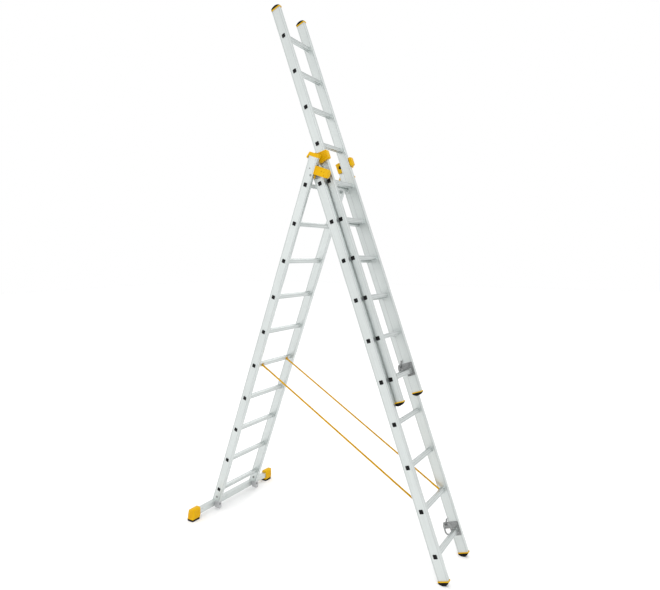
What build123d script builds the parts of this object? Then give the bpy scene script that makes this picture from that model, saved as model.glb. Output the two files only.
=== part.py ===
from build123d import *
import os
from math import cos, radians, sin

os.makedirs("parts", exist_ok=True)

# A three-section combination ladder standing as an A-frame. The front section (two feet) and the
# rear section (crossbar) hinge near the top, and the narrower upper section is raised on the
# front section's rungs. Millimetres, +Z up, +X to the front, Y across, origin on the floor.

# driving dimensions
rung_pitch = 280.0
rung_count = 10
front_lean = 70.47  # degrees between the stiles and the floor
rear_lean = 69.56
front_half = 201.81  # half of each section's outside width
rear_half = 235.42
upper_half = 163.64
front_station = 919.9  # X of the front section's bottom rung
upper_raise = 4 * rung_pitch
nest_offset = 52.3  # mid-plane to mid-plane of two sections lying on each other

stile_depth = 73.0
stile_thickness = 25.0
stile_wall = 1.2
groove_width = 3.0
groove_depth = 0.5
groove_at = 29.0
stile_drop = 150.0  # stile end below the bottom rung
stile_top = 2730.0  # stile end above the bottom rung
upper_stile_top = 2735.0

rung_size = 30.0
rung_corner = 5.0
rung_wall = 1.3
rung_groove = 0.5
ring_size = 34.0
ring_proud = 1.2
bead_length = 3.0
plug_cap = 28.0
plug_proud = 0.7
plug_depth = 12.0

lip_height = 6.0
lip_front = 4.0  # how far a foot's lip stands proud at the front and at both sides
lip_back = 0.4
sole_radius = 45.0
sole_centre = 132.5  # below the bottom rung
sole_reach = 28.0
cap_crown = 18.0
tongue_length = 45.0  # how far a moulding reaches into a stile
tongue_wall = 3.0

bar_depth = 40.0
bar_height = 41.0
bar_wall = 2.0
bar_bottom = 34.4
bar_back_of_front = 1886.0  # bar centre behind the front section's bottom rung
bar_half = 462.0
shoe_inner = 403.0
shoe_outer = 478.0
shoe_sole = 14.0
shoe_corner = 9.0
shoe_pocket_depth = 44.0
sole_ahead = -11.0  # middle of the crossbar's soles, from the bar's middle
sole_depth = 66.0
sole_corner = 14.0
# a shoe seen from the side: ahead of the bar's middle and above the floor
shoe_side = ((-42.0, 14.0), (20.0, 14.0), (27.0, 40.0), (29.0, 95.0), (-19.0, 95.0))
shoe_floor = 4.0  # left between the bar's socket and the pockets below
saddle_front = 44.0
saddle_low = 18.0
saddle_outer = 243.0
saddle_corner = 12.0
saddle_bolt_along = -72.7
saddle_tongue_along = -68.0
bolt_head = 7.0
bolt_head_height = 3.0

hinge_along = 2592.3
hinge_back = 33.1
hinge_radius = 6.0
running_gap = 0.05
lug_thickness = 3.5
bracket_gap = 4.4  # from the front section's outer face to the rear bracket
bracket_low = 2606.0
bracket_high = 2665.0
bracket_reach = {-1: 150.0, 1: 84.0}  # the right arm stops behind the front stile's face
bracket_rib = 6.5
bracket_wall = 3.5
rivet_radius = 3.0
rivet_head = 2.0
flat_head = 0.6

guide_low = 2656.0
guide_high = 2733.5
guide_front = 112.0
guide_gap = 2.46  # from the upper section's outer face to the guide
guide_lip_back = 89.6
guide_back = 34.0
guide_lip_reach = 147.0
guide_corner = 8.0

hook_plate = 4.0
claw_thickness = 5.0
claw_gap = 0.4
pivot_front = -62.0
pivot_along = 42.0
pivot_radius = 4.0
spring_wire = 0.9
spring_leg = 22.0

strap_width = 20.0
strap_thickness = 2.0
strap_across = 151.0
strap_gap = 0.4
strap_rear_rung = 4
strap_front_rung = 1

# rivet spots as (ahead, along) in their own section
bracket_rivets = ((-1.6, 2635.5), (-14.0, 2600.0), (18.0, 2650.0))
lug_rivets = ((20.0, 2572.0), (20.0, 2598.0))
guide_rivets = ((-5.0, 2696.0),)
hook_rivets = ((26.0, 48.0), (26.0, -24.0), (-12.0, 48.0))


# section frames: local X to the front, Y across, Z up along the stiles, origin at the bottom rung
front_height = sole_centre * sin(radians(front_lean)) + sole_radius
front_x = (sin(radians(front_lean)), 0, cos(radians(front_lean)))
front_z = (-cos(radians(front_lean)), 0, sin(radians(front_lean)))
rear_x = (sin(radians(rear_lean)), 0, -cos(radians(rear_lean)))
rear_z = (cos(radians(rear_lean)), 0, sin(radians(rear_lean)))
front = Plane(origin=(front_station, 0, front_height), x_dir=front_x, z_dir=front_z)
upper = Plane(origin=front.from_local_coords((nest_offset, 0, upper_raise)), x_dir=front_x, z_dir=front_z)
hinge_point = front.from_local_coords((-hinge_back, 0, hinge_along))
rear_foot = (
    hinge_point
    - Vector(*rear_z) * hinge_along
    - Vector(*rear_x) * (nest_offset - hinge_back)
)
rear = Plane(origin=rear_foot, x_dir=rear_x, z_dir=rear_z)

# sizes that follow from the ones above
bar_x = front_station - bar_back_of_front
bar_face = bar_x + bar_depth / 2
bar_middle = bar_bottom + bar_height / 2
bar_top = bar_bottom + bar_height
rung_bore = rung_size - 2 * (rung_wall + rung_groove)
tongue_depth = stile_depth - 2 * stile_wall
tongue_width = stile_thickness - 2 * (stile_wall + groove_depth)
front_inner = front_half - stile_thickness
rear_inner = rear_half - stile_thickness
upper_inner = upper_half - stile_thickness
saddle_middle = (rear_inner + saddle_outer) / 2
pin_ahead = nest_offset - hinge_back  # the hinge pin, seen from the rear section
bracket_near = front_half + bracket_gap
guide_near = upper_half + guide_gap

rung_spots = [(0, level * rung_pitch) for level in range(rung_count)]


def cross_plane(section, along, ahead=0.0, across=0.0):
    """A plane square to the stiles; sketch X runs to the front, sketch Y runs across."""
    spot = section.from_local_coords((ahead, across, along))
    return Plane(origin=spot, x_dir=section.x_dir, z_dir=section.z_dir)


def side_plane(section, across):
    """A plane along the stiles facing -Y; sketch X runs to the front, sketch Y runs up."""
    spot = section.from_local_coords((0, across, 0))
    return Plane(origin=spot, x_dir=section.x_dir, z_dir=(0, -1, 0))


def fore_plane(x, y, z):
    """A plane facing the front; sketch X runs across, sketch Y runs up."""
    return Plane(origin=(x, y, z), x_dir=(0, 1, 0), z_dir=(1, 0, 0))


def bar_plane(y, facing):
    """A plane square to the crossbar, centred on it."""
    return Plane(origin=(bar_x, y, bar_middle), x_dir=(1, 0, 0), z_dir=(0, facing, 0))


def layer(section, side, near, far):
    """The side plane from which extruding far - near fills that distance from the middle."""
    return side_plane(section, -near if side < 0 else far)


def save(part, name):
    part.label = name
    export_step(part, f"parts/{name}.step")


def hand(side):
    return "left" if side < 0 else "right"


# stiles ---------------------------------------------------------------------------------------
def stile(section, side, half, top, holes):
    """A closed box extrusion with a shallow groove near each edge and a window at each rung."""
    middle = side * (half - stile_thickness / 2)
    with BuildPart() as tube:
        with BuildSketch(cross_plane(section, -stile_drop, 0, middle)):
            RectangleRounded(stile_depth, stile_thickness, 2.0)
            with GridLocations(2 * groove_at, stile_thickness, 2, 2):
                Rectangle(groove_width, 2 * groove_depth, mode=Mode.SUBTRACT)
            Rectangle(tongue_depth, tongue_width, mode=Mode.SUBTRACT)
        extrude(amount=stile_drop + top)
        with BuildSketch(side_plane(section, middle + stile_thickness)):
            with Locations(*rung_spots):
                RectangleRounded(rung_size, rung_size, rung_corner)
        extrude(amount=2 * stile_thickness, mode=Mode.SUBTRACT)
        for spots, radius, near, far in holes:
            with BuildSketch(layer(section, side, half + near, half + far)):
                with Locations(*spots):
                    Circle(radius)
            extrude(amount=far - near, mode=Mode.SUBTRACT)
        if section is rear:
            with BuildSketch(Plane.XY.offset(bar_top)):
                with Locations((bar_x, 0)):
                    Rectangle(400, 4 * rear_half)
            extrude(amount=-400, mode=Mode.SUBTRACT)
    return tube.part


# rungs ----------------------------------------------------------------------------------------
def rung_outline():
    """The rung's section: a rounded square tube with tread grooves on all four sides."""
    with BuildSketch(Plane.XY) as outline:
        RectangleRounded(rung_size, rung_size, rung_corner)
        RectangleRounded(rung_bore, rung_bore, rung_corner - rung_wall, mode=Mode.SUBTRACT)
    return outline.sketch


def rungs(section, half):
    """Ten tubes through both stiles, each swaged to a ring outside and a bead inside."""
    profile = rung_outline()
    clear = half - stile_thickness - bead_length
    with BuildPart() as bars:
        with BuildSketch(side_plane(section, half + ring_proud)):
            with Locations(*rung_spots):
                add(profile)
        extrude(amount=2 * (half + ring_proud))
        for side in (-1, 1):
            for near, far in ((half, half + ring_proud), (clear, half - stile_thickness)):
                with BuildSketch(layer(section, side, near, far)):
                    with Locations(*rung_spots):
                        RectangleRounded(ring_size, ring_size, rung_corner + 2)
                        RectangleRounded(rung_size, rung_size, rung_corner, mode=Mode.SUBTRACT)
                extrude(amount=far - near)
        with BuildSketch(side_plane(section, clear - 1)):
            with Locations(*rung_spots):
                with PolarLocations(rung_size / 2, 4):
                    with GridLocations(1, 6.0, 1, 3):
                        Rectangle(2 * rung_groove, 2.0)
        extrude(amount=2 * (clear - 1), mode=Mode.SUBTRACT)
    return bars.part


def rung_plugs(section, half):
    """The moulded plug that closes both ends of every rung."""
    end = half + ring_proud
    with BuildPart() as plugs:
        for side in (-1, 1):
            with BuildSketch(layer(section, side, end, end + plug_proud)):
                with Locations(*rung_spots):
                    RectangleRounded(plug_cap, plug_cap, rung_corner)
            extrude(amount=plug_proud)
            with BuildSketch(layer(section, side, end - plug_depth, end)):
                with Locations(*rung_spots):
                    RectangleRounded(rung_bore, rung_bore, rung_corner - rung_wall)
                    Rectangle(rung_bore - 6, rung_bore - 6, mode=Mode.SUBTRACT)
            extrude(amount=plug_depth)
    return plugs.part


# feet and end caps ----------------------------------------------------------------------------
def foot_outline(grow=0.0):
    with BuildSketch(Plane.XY) as outline:
        with Locations(((lip_front - lip_back) / 2, 0)):
            length = stile_depth + lip_front + lip_back + 2 * grow
            RectangleRounded(length, stile_thickness + 2 * lip_front + 2 * grow, 5.0 + grow)
    return outline.sketch


def foot_shoe(section, side, half, end, way):
    """The foot's moulded lip with the tongue that plugs into the stile."""
    middle = side * (half - stile_thickness / 2)
    with BuildPart() as shoe:
        with BuildSketch(cross_plane(section, end, 0, middle)):
            add(foot_outline())
        extrude(amount=way * lip_height)
        with BuildSketch(cross_plane(section, end, 0, middle)):
            Rectangle(tongue_depth, tongue_width)
            Rectangle(tongue_depth - 2 * tongue_wall, tongue_width - 2 * tongue_wall, mode=Mode.SUBTRACT)
        extrude(amount=-way * tongue_length)
    return shoe.part


def foot_sole(section, side, half):
    """The rubber sole under a foot, rounded so that it rolls with the ladder's lean."""
    middle = side * (half - stile_thickness / 2)
    top = -stile_drop - lip_height
    with BuildPart() as sole:
        with BuildSketch(cross_plane(section, top, 0, middle)):
            add(foot_outline(-0.5))
        extrude(amount=-sole_reach)
        with BuildSketch(side_plane(section, middle + stile_thickness)):
            with Locations((0, -sole_centre)):
                Circle(sole_radius)
        extrude(amount=2 * stile_thickness, mode=Mode.INTERSECT)
        with BuildSketch(side_plane(section, middle + stile_thickness)):
            with Locations((0, -sole_centre)):
                with PolarLocations(sole_radius, 5, start_angle=242, angular_range=44, endpoint=True):
                    Rectangle(3.0, 2.4)
        extrude(amount=2 * stile_thickness, mode=Mode.SUBTRACT)
    return sole.part


def end_cap(section, side, half):
    """The low rubber dome on the upper section's top ends."""
    middle = side * (half - stile_thickness / 2)
    base = upper_stile_top + lip_height
    half_chord = stile_depth / 2 + lip_front
    with BuildPart() as cap:
        with BuildSketch(cross_plane(section, base, 0, middle)):
            add(foot_outline(-0.5))
        extrude(amount=cap_crown)
        with BuildSketch(side_plane(section, middle + stile_thickness)):
            with BuildLine():
                ThreePointArc((-half_chord, base + 2), (0, base + cap_crown), (half_chord, base + 2))
                Polyline(
                    (half_chord, base + 2),
                    (half_chord, base),
                    (-half_chord, base),
                    (-half_chord, base + 2),
                )
            make_face()
        extrude(amount=2 * stile_thickness, mode=Mode.INTERSECT)
    return cap.part


# crossbar -------------------------------------------------------------------------------------
def crossbar():
    with BuildPart() as bar:
        with BuildSketch(bar_plane(bar_half, -1)):
            RectangleRounded(bar_depth, bar_height, 3.0)
            with GridLocations(bar_depth, 18.0, 2, 2):
                Rectangle(1.2, 2.4, mode=Mode.SUBTRACT)
            Rectangle(bar_depth - 2 * bar_wall - 1.2, bar_height - 2 * bar_wall, mode=Mode.SUBTRACT)
        extrude(amount=2 * bar_half)
        with BuildSketch(fore_plane(bar_x, 0, bar_middle)):
            with Locations((-saddle_middle, 0), (saddle_middle, 0)):
                Circle(pivot_radius)
        extrude(amount=bar_depth, mode=Mode.SUBTRACT)
    return bar.part


def bar_saddle(side):
    """The casting that plugs into a rear stile and reaches down in front of the crossbar."""
    middle = side * (rear_half - stile_thickness / 2)
    with BuildPart() as saddle:
        with BuildSketch(fore_plane(bar_face, side * saddle_middle, 0)) as shield:
            with Locations((0, (saddle_low + bar_top) / 2)):
                Rectangle(saddle_outer - rear_inner, bar_top - saddle_low)
            fillet(shield.vertices().group_by(Axis.Y)[0], saddle_corner)
        extrude(amount=saddle_front)
        with BuildSketch(side_plane(rear, middle + tongue_width / 2)):
            with Locations((0, saddle_tongue_along)):
                Rectangle(tongue_depth, 48)
        extrude(amount=tongue_width)
        with BuildSketch(Plane.XY.offset(bar_top - 20)):
            with Locations((bar_face + saddle_front / 2, middle)):
                Rectangle(saddle_front - 14, tongue_width)
        extrude(amount=tongue_length)
        with BuildSketch(side_plane(rear, middle + stile_thickness)):
            with Locations((0, saddle_bolt_along)):
                Circle(pivot_radius)
        extrude(amount=2 * stile_thickness, mode=Mode.SUBTRACT)
        with BuildSketch(fore_plane(bar_face, side * saddle_middle, bar_middle)):
            Circle(pivot_radius)
        extrude(amount=saddle_front, mode=Mode.SUBTRACT)
    return saddle.part


def bar_bolts():
    """One bolt through each stile and saddle, and one through each saddle into the bar."""
    bolt_end = bar_x + 8
    with BuildPart() as bolts:
        for side in (-1, 1):
            near = rear_inner - bolt_head_height
            far = rear_half + bolt_head_height
            with BuildSketch(layer(rear, side, near, far)):
                with Locations((0, saddle_bolt_along)):
                    Circle(pivot_radius)
            extrude(amount=far - near)
            for head in (near, rear_half):
                with BuildSketch(layer(rear, side, head, head + bolt_head_height)):
                    with Locations((0, saddle_bolt_along)):
                        RegularPolygon(bolt_head, 6)
                extrude(amount=bolt_head_height)
            with BuildSketch(fore_plane(bolt_end, side * saddle_middle, bar_middle)):
                Circle(pivot_radius)
            extrude(amount=bar_face + saddle_front - bolt_end)
            with BuildSketch(fore_plane(bar_face + saddle_front, side * saddle_middle, bar_middle)):
                RegularPolygon(bolt_head, 6)
            extrude(amount=bolt_head_height + 1)
    return bolts.part


def bar_shoe(side):
    """The moulded shoe that the crossbar's end is pushed into; it leans with the rear stiles."""
    middle = side * (shoe_inner + shoe_outer) / 2
    width = shoe_outer - shoe_inner
    with BuildPart() as shoe:
        with BuildSketch(Plane.XZ.offset(-middle - width / 2)) as block:
            with BuildLine():
                corners = [(bar_x + ahead, level) for ahead, level in shoe_side]
                Polyline(*corners, close=True)
            make_face()
            fillet(block.vertices().group_by(Axis.Y)[-1], shoe_corner)
        extrude(amount=width)
        with BuildSketch(bar_plane(side * shoe_inner, side)):
            RectangleRounded(bar_depth, bar_height, 3.0)
        extrude(amount=bar_half - shoe_inner, mode=Mode.SUBTRACT)
        with BuildSketch(Plane.XY.offset(shoe_sole)):
            with Locations((bar_x + sole_ahead, middle)):
                with GridLocations(1, width / 2, 1, 2):
                    Rectangle(shoe_pocket_depth, width / 2 - 6)
        extrude(amount=bar_bottom - shoe_sole - shoe_floor, mode=Mode.SUBTRACT)
    return shoe.part


def bar_sole(side):
    middle = side * (shoe_inner + shoe_outer) / 2
    width = shoe_outer - shoe_inner + 4
    with BuildPart() as sole:
        with BuildSketch(Plane.XY):
            with Locations((bar_x + sole_ahead, middle)):
                RectangleRounded(sole_depth, width, sole_corner)
        extrude(amount=shoe_sole)
        with BuildSketch(Plane.XY):
            with Locations((bar_x + sole_ahead, middle)):
                with GridLocations(1, 17, 1, 4):
                    Rectangle(sole_depth + 10, 4)
        extrude(amount=3, mode=Mode.SUBTRACT)
    return sole.part


# hinge ----------------------------------------------------------------------------------------
def hinge_bracket(side):
    """The moulded arm on a rear stile that carries the pin and embraces the front stile."""
    height = bracket_high - bracket_low
    level = (bracket_low + bracket_high) / 2
    root = stile_depth / 2 + 0.5
    reach = bracket_reach[side]
    length = reach - root
    arm_middle = (root + reach) / 2
    base_low = hinge_along - 17
    with BuildPart() as bracket:
        with BuildSketch(layer(rear, side, bracket_near, rear_half)) as arm:
            with Locations((arm_middle, level)):
                Rectangle(length, height)
            fillet(arm.vertices().group_by(Axis.X)[-1], 9)
        extrude(amount=rear_half - bracket_near)
        with BuildSketch(layer(rear, side, bracket_near, rear_half - bracket_wall)):
            with Locations((arm_middle, level)):
                with GridLocations(length / 2, 1, 2, 1):
                    Rectangle(length / 2 - bracket_rib, height - 2 * bracket_wall)
        extrude(amount=rear_half - bracket_wall - bracket_near, mode=Mode.SUBTRACT)
        with BuildSketch(layer(rear, side, bracket_near, rear_inner)) as base:
            with Locations((8, (bracket_high + base_low) / 2)):
                Rectangle(72, bracket_high - base_low)
            fillet(base.vertices().group_by(Axis.X)[0], 12)
            fillet(base.vertices().group_by(Axis.X)[-1].sort_by(Axis.Y)[0], 10)
        extrude(amount=rear_inner - bracket_near)
        if side < 0:
            with BuildSketch(layer(rear, side, bracket_near - 8, bracket_near + 6)):
                with Locations((reach - 4, level)):
                    Rectangle(8, height - 20)
            extrude(amount=14)
        with BuildSketch(layer(rear, side, rear_half - 1.0, rear_half)):
            with Locations((arm_middle, level)):
                RectangleRounded(length - 29, height - 18, 6)
        extrude(amount=1.0, mode=Mode.SUBTRACT)
        with BuildSketch(layer(rear, side, bracket_near, rear_inner)):
            with Locations((pin_ahead, hinge_along)):
                Circle(hinge_radius)
            with Locations(*bracket_rivets):
                Circle(rivet_radius)
        extrude(amount=rear_inner - bracket_near, mode=Mode.SUBTRACT)
    return bracket.part


def hinge_lug(side):
    """The steel plate on a front stile's outer face that the hinge pin turns in."""
    with BuildPart() as lug:
        with BuildSketch(layer(front, side, front_half, front_half + lug_thickness)) as plate:
            with BuildLine():
                Polyline(
                    (-hinge_back, hinge_along + 16),
                    (30, hinge_along + 16),
                    (30, hinge_along - 36),
                    (-10, hinge_along - 36),
                    (-hinge_back - 13, hinge_along - 9),
                    (-hinge_back, hinge_along + 16),
                )
            make_face()
            fillet(plate.vertices().group_by(Axis.X)[-1], 8)
            with Locations((-hinge_back, hinge_along)):
                Circle(16)
                Circle(hinge_radius + running_gap, mode=Mode.SUBTRACT)
            with Locations(*lug_rivets):
                Circle(rivet_radius, mode=Mode.SUBTRACT)
        extrude(amount=lug_thickness)
    return lug.part


def hinge_pins():
    with BuildPart() as pins:
        for side in (-1, 1):
            with BuildSketch(layer(rear, side, front_half + 0.2, rear_half)):
                with Locations((pin_ahead, hinge_along)):
                    Circle(hinge_radius)
            extrude(amount=rear_half - front_half - 0.2)
            with BuildSketch(layer(rear, side, rear_half, rear_half + 1.0)):
                with Locations((pin_ahead, hinge_along)):
                    Circle(hinge_radius + 2)
            extrude(amount=1.0)
    return pins.part


def rear_cap(side):
    """The moulded cap on a rear stile's top end, with a short tail down its back edge."""
    middle = side * (rear_half - stile_thickness / 2)
    with BuildPart() as cap:
        with BuildSketch(cross_plane(rear, stile_top - 14, 0, middle)):
            RectangleRounded(stile_depth + 8, stile_thickness + 7, 4)
        extrude(amount=26)
        with BuildSketch(side_plane(rear, middle + 11)):
            with BuildLine():
                Polyline(
                    (-38, stile_top + 11),
                    (-44, stile_top + 9),
                    (-58, stile_top - 30),
                    (-50, stile_top - 34),
                    (-40.5, stile_top - 12),
                    (-38, stile_top + 11),
                )
            make_face()
        extrude(amount=22)
        with BuildSketch(cross_plane(rear, stile_top - 14, 0, middle)):
            RectangleRounded(stile_depth, stile_thickness, 2.0)
        extrude(amount=14, mode=Mode.SUBTRACT)
    return cap.part


def top_guide(side):
    """The moulding on a front stile's top end that wraps round the upper section's stile."""
    height = guide_high - guide_low
    level = (guide_low + guide_high) / 2
    root = stile_depth / 2 + 0.5
    with BuildPart() as guide:
        with BuildSketch(layer(front, side, guide_near, front_inner)) as cheek:
            with Locations(((guide_front - guide_back) / 2, level)):
                Rectangle(guide_front + guide_back, height)
            fillet(cheek.vertices(), guide_corner)
        extrude(amount=front_inner - guide_near)
        with BuildSketch(layer(front, side, front_inner, front_inner + 5)) as block:
            with Locations(((guide_front + root) / 2, level)):
                Rectangle(guide_front - root, height)
            fillet(block.vertices().group_by(Axis.X)[-1], guide_corner)
        extrude(amount=5)
        with BuildSketch(layer(front, side, guide_lip_reach, guide_near)) as lip:
            with Locations(((guide_front + guide_lip_back) / 2, level)):
                Rectangle(guide_front - guide_lip_back, height)
            fillet(lip.vertices().group_by(Axis.X)[-1], guide_corner)
        extrude(amount=guide_near - guide_lip_reach)
        with BuildSketch(layer(front, side, guide_near + 4, front_half)):
            with Locations((0, (stile_top + guide_high) / 2)):
                Rectangle(stile_depth + 3, guide_high - stile_top)
        extrude(amount=front_half - guide_near - 4)
        with BuildSketch(layer(front, side, guide_near, front_inner)):
            with Locations(*guide_rivets):
                Circle(rivet_radius)
        extrude(amount=front_inner - guide_near, mode=Mode.SUBTRACT)
    return guide.part


# hooks ----------------------------------------------------------------------------------------
def hook(section, side, half):
    """The hook plate on a stile's inner face; its seat rests on the rung behind."""
    inner_face = half - stile_thickness
    with BuildPart() as plate:
        with BuildSketch(layer(section, side, inner_face - hook_plate, inner_face)) as shape:
            with BuildLine():
                Polyline(
                    (35, -34),
                    (35, 60),
                    (-76, 60),
                    (-76, 30),
                    (-69.5, 16),
                    (-36.2, 16),
                    (-36.2, 2),
                    (-24, -10),
                    (-24, -34),
                    (35, -34),
                )
            make_face()
            fillet(shape.vertices().group_by(Axis.X)[-1], 8)
            fillet(shape.vertices().group_by(Axis.X)[0].sort_by(Axis.Y)[-1], 10)
            RectangleRounded(ring_size + 1, ring_size + 1, rung_corner + 2, mode=Mode.SUBTRACT)
            with Locations((pivot_front, pivot_along)):
                Circle(pivot_radius, mode=Mode.SUBTRACT)
            with Locations(*hook_rivets):
                Circle(rivet_radius, mode=Mode.SUBTRACT)
        extrude(amount=hook_plate)
    return plate.part


def claw(section, side, half):
    """The swinging claw that closes the hook under the rung, with its thumb lever."""
    far = half - stile_thickness - hook_plate - claw_gap
    with BuildPart() as jaw:
        with BuildSketch(layer(section, side, far - claw_thickness, far)) as shape:
            with BuildLine():
                Polyline(
                    (-50, 46),
                    (-36, 70),
                    (-34, 84),
                    (-42, 86),
                    (-46, 74),
                    (-58, 56),
                    (-74, 50),
                    (-80, 34),
                    (-80, -8),
                    (-70, -24),
                    (-57, -26),
                    (-57, -17),
                    (-64, -17),
                    (-69.8, -9),
                    (-69.8, 22),
                    (-60, 29),
                    (-50, 46),
                )
            make_face()
            fillet(shape.vertices().group_by(Axis.Y)[-1], 3)
            with Locations((pivot_front, pivot_along)):
                Circle(13)
                Circle(pivot_radius + running_gap, mode=Mode.SUBTRACT)
        extrude(amount=claw_thickness)
    return jaw.part


def claw_pivots(section, half, hooked):
    """The headed pins that the claws turn on."""
    inner_face = half - stile_thickness
    claw_face = inner_face - hook_plate - claw_gap - claw_thickness
    with BuildPart() as pins:
        for side in hooked:
            for near, far, radius in (
                (claw_face - 8, inner_face, pivot_radius),
                (inner_face, inner_face + 2, pivot_radius + 3),
                (claw_face - 10, claw_face - 8, pivot_radius + 3),
            ):
                with BuildSketch(layer(section, side, near, far)):
                    with Locations((pivot_front, pivot_along)):
                        Circle(radius)
                extrude(amount=far - near)
    return pins.part


def claw_springs(section, half, hooked):
    """The torsion spring on each claw pivot: closed coils with one leg over the plate."""
    claw_face = half - stile_thickness - hook_plate - claw_gap - claw_thickness
    coil = pivot_radius + 1.6
    with BuildPart() as springs:
        for side in hooked:
            centre = section.from_local_coords((pivot_front, side * (claw_face - 4), pivot_along))
            with BuildSketch(Plane(origin=centre, x_dir=section.x_dir, z_dir=section.z_dir)):
                with GridLocations(1, 1.7, 1, 4):
                    with Locations((coil, 0)):
                        Circle(spring_wire)
            revolve(axis=Axis(centre, (0, 1, 0)), revolution_arc=360)
            with BuildSketch(Plane(origin=centre, x_dir=(0, 1, 0), z_dir=section.x_dir)):
                with Locations((0, coil)):
                    Circle(spring_wire)
            extrude(amount=spring_leg)
    return springs.part


# rivets ---------------------------------------------------------------------------------------
def rivets(section, groups):
    """Headed rivets; a group gives its sides, spots, the shank's span, the head's place and height."""
    with BuildPart() as heads:
        for hands, spots, near, far, head_near, head_height in groups:
            for side in hands:
                with BuildSketch(layer(section, side, near, far)):
                    with Locations(*spots):
                        Circle(rivet_radius)
                extrude(amount=far - near)
                with BuildSketch(layer(section, side, head_near, head_near + head_height)):
                    with Locations(*spots):
                        Circle(rivet_radius + 2)
                extrude(amount=head_height)
    return heads.part


# straps ---------------------------------------------------------------------------------------
def strap(side):
    """Webbing pulled tight between the rear and front sections, looped round a rung at each end."""
    rear_spot = rear.from_local_coords((0, 0, strap_rear_rung * rung_pitch))
    front_spot = front.from_local_coords((0, 0, strap_front_rung * rung_pitch))
    run = front_spot - rear_spot
    middle = rear_spot + run * 0.5
    across = side * strap_across - strap_width / 2
    loop = rung_size + 2 * strap_gap + 2 * strap_thickness
    eye = rung_size + 2 * strap_gap
    with BuildPart() as webbing:
        middle_plane = Plane(origin=(middle.X, across, middle.Z), x_dir=run.normalized(), z_dir=(0, -1, 0))
        with BuildSketch(middle_plane):
            Rectangle(run.length - loop, strap_thickness)
        extrude(amount=-strap_width)
        for section, level in ((rear, strap_rear_rung), (front, strap_front_rung)):
            with BuildSketch(side_plane(section, across)):
                with Locations((0, level * rung_pitch)):
                    RectangleRounded(loop, loop, rung_corner + strap_thickness)
            extrude(amount=-strap_width)
        for section, level in ((rear, strap_rear_rung), (front, strap_front_rung)):
            with BuildSketch(side_plane(section, across)):
                with Locations((0, level * rung_pitch)):
                    RectangleRounded(eye, eye, rung_corner)
            extrude(amount=-strap_width, mode=Mode.SUBTRACT)
    return webbing.part, run.length


# assembly -------------------------------------------------------------------------------------
inner_wall = (-stile_thickness - 1, -stile_thickness / 2)
outer_wall = (-stile_thickness / 2, 1)
both_walls = (-stile_thickness - 1, 1)
hook_sides = {"front": (1,), "upper": (-1, 1)}  # the front section has one hook, on the right
stile_holes = {
    "front": [
        (guide_rivets, rivet_radius, *inner_wall),
        (lug_rivets, rivet_radius, *outer_wall),
    ],
    "rear": [
        ([(pin_ahead, hinge_along)], hinge_radius, *both_walls),
        ([(0.0, saddle_bolt_along)], pivot_radius, *both_walls),
        (bracket_rivets[:1], rivet_radius, *both_walls),
        (bracket_rivets[1:], rivet_radius, *inner_wall),
    ],
    "upper": [],
}
hook_holes = [(hook_rivets, rivet_radius, *inner_wall)]
sections = {
    "front": (front, front_half, stile_top),
    "rear": (rear, rear_half, stile_top),
    "upper": (upper, upper_half, upper_stile_top),
}

for title, (section, half, top) in sections.items():
    for side in (-1, 1):
        holes = stile_holes[title] + (hook_holes if side in hook_sides.get(title, ()) else [])
        save(stile(section, side, half, top, holes), f"{title}_{hand(side)}_stile")
    save(rungs(section, half), f"{title}_rungs")
    save(rung_plugs(section, half), f"{title}_rung_plugs")

for side in (-1, 1):
    save(foot_shoe(front, side, front_half, -stile_drop, -1), f"front_{hand(side)}_foot")
    save(foot_sole(front, side, front_half), f"front_{hand(side)}_sole")
    save(foot_shoe(upper, side, upper_half, -stile_drop, -1), f"upper_{hand(side)}_foot")
    save(foot_sole(upper, side, upper_half), f"upper_{hand(side)}_sole")
    save(foot_shoe(upper, side, upper_half, upper_stile_top, 1), f"upper_{hand(side)}_cap_lip")
    save(end_cap(upper, side, upper_half), f"upper_{hand(side)}_end_cap")
    save(bar_saddle(side), f"bar_saddle_{hand(side)}")
    save(bar_shoe(side), f"bar_shoe_{hand(side)}")
    save(bar_sole(side), f"bar_sole_{hand(side)}")
    save(hinge_bracket(side), f"hinge_bracket_{hand(side)}")
    save(hinge_lug(side), f"hinge_lug_{hand(side)}")
    save(rear_cap(side), f"rear_{hand(side)}_cap")
    save(top_guide(side), f"top_guide_{hand(side)}")
    webbing, strap_length = strap(side)
    save(webbing, f"strap_{hand(side)}")

save(crossbar(), "crossbar")
save(bar_bolts(), "bar_bolts")
save(hinge_pins(), "hinge_pins")
for title, hooked in hook_sides.items():
    section, half, top = sections[title]
    for side in hooked:
        save(hook(section, side, half), f"{title}_{hand(side)}_hook")
        save(claw(section, side, half), f"{title}_{hand(side)}_claw")
    save(claw_pivots(section, half, hooked), f"{title}_claw_pivots")
    save(claw_springs(section, half, hooked), f"{title}_claw_springs")

skin = stile_wall + groove_depth
front_plate = front_inner - hook_plate
upper_plate = upper_inner - hook_plate
both = (-1, 1)
lug_face = front_half + lug_thickness
front_rivet_groups = [
    ((1,), hook_rivets, front_plate, front_inner + skin, front_plate - rivet_head, rivet_head),
    (both, guide_rivets, guide_near, front_inner + skin, guide_near - rivet_head, rivet_head),
    (both, lug_rivets, front_half - skin, lug_face, lug_face, flat_head),
]
upper_rivet_groups = [
    (both, hook_rivets, upper_plate, upper_inner + skin, upper_plate - rivet_head, rivet_head),
]
rear_rivet_groups = [
    (both, bracket_rivets[:1], bracket_near, rear_half, rear_half, rivet_head),
    (both, bracket_rivets[1:], bracket_near, rear_inner + skin, bracket_near - rivet_head, rivet_head),
]
save(rivets(front, front_rivet_groups), "front_rivets")
save(rivets(upper, upper_rivet_groups), "upper_rivets")
save(rivets(rear, rear_rivet_groups), "rear_rivets")

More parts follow.
